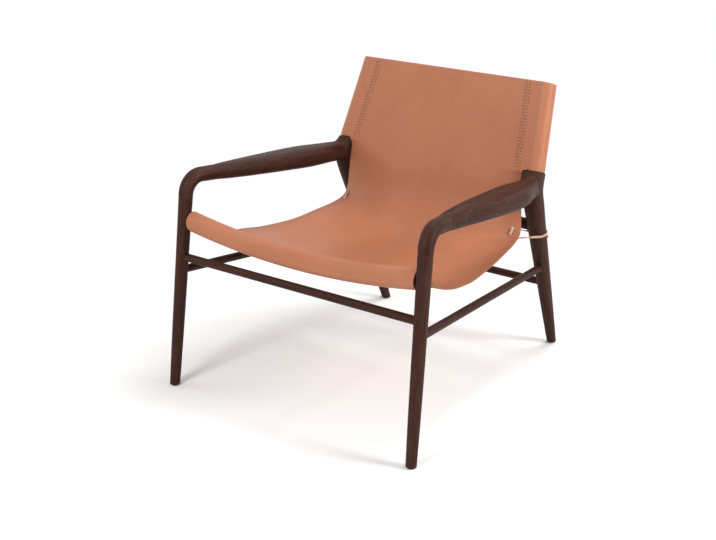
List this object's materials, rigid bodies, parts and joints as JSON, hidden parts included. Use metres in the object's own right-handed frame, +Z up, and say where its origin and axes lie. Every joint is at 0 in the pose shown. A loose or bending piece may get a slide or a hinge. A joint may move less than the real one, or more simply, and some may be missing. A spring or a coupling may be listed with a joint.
{
  "type": "sling lounge chair",
  "caption": "Low lounge chair: dark wooden frame with paddle armrests and one leather sling that wraps the front rail and sleeves over the back posts.",
  "frame": {"origin": "on the floor, in the middle of the chair's outline seen from above", "axes": "+X is the sitter's left, -Y is the front, +Z is up"},
  "size_m": [0.7402, 0.8234, 0.729],
  "materials": {
    "smoked_wood": "oiled dark brown, low sheen",
    "pale_wood": "unfinished",
    "tan_leather": "smooth vegetable-tanned leather, soft sheen",
    "pale_leather": "natural leather lace",
    "steel": "satin",
    "dark_plastic": "matt"
  },
  "bodies": {
    "root": {"front_leg_left": "smoked_wood", "front_leg_right": "smoked_wood", "elbow_left": "smoked_wood", "elbow_right": "smoked_wood", "armrest_left": "smoked_wood", "armrest_right": "smoked_wood", "rear_leg_left": "smoked_wood", "rear_leg_right": "smoked_wood", "back_post_left": "smoked_wood", "back_post_right": "smoked_wood", "side_stretcher_left": "smoked_wood", "side_stretcher_right": "smoked_wood", "front_rail": "smoked_wood", "back_rail": "smoked_wood", "front_stretcher": "smoked_wood", "rear_stretcher": "smoked_wood", "leg_dowel_left": "pale_wood", "leg_dowel_right": "pale_wood", "arm_dowel_left": "pale_wood", "arm_dowel_right": "pale_wood", "arm_tenon_left": "pale_wood", "arm_tenon_right": "pale_wood", "sling": "tan_leather", "lace_left": "pale_leather", "lace_right": "pale_leather", "sling_screw_1": "steel", "sling_screw_2": "steel", "sling_screw_3": "steel", "sling_screw_4": "steel", "sling_screw_5": "steel", "sling_screw_6": "steel", "sling_screw_7": "steel", "glide_front_left": "dark_plastic", "glide_front_right": "dark_plastic", "glide_rear_left": "dark_plastic", "glide_rear_right": "dark_plastic"}
  },
  "joints": []
}
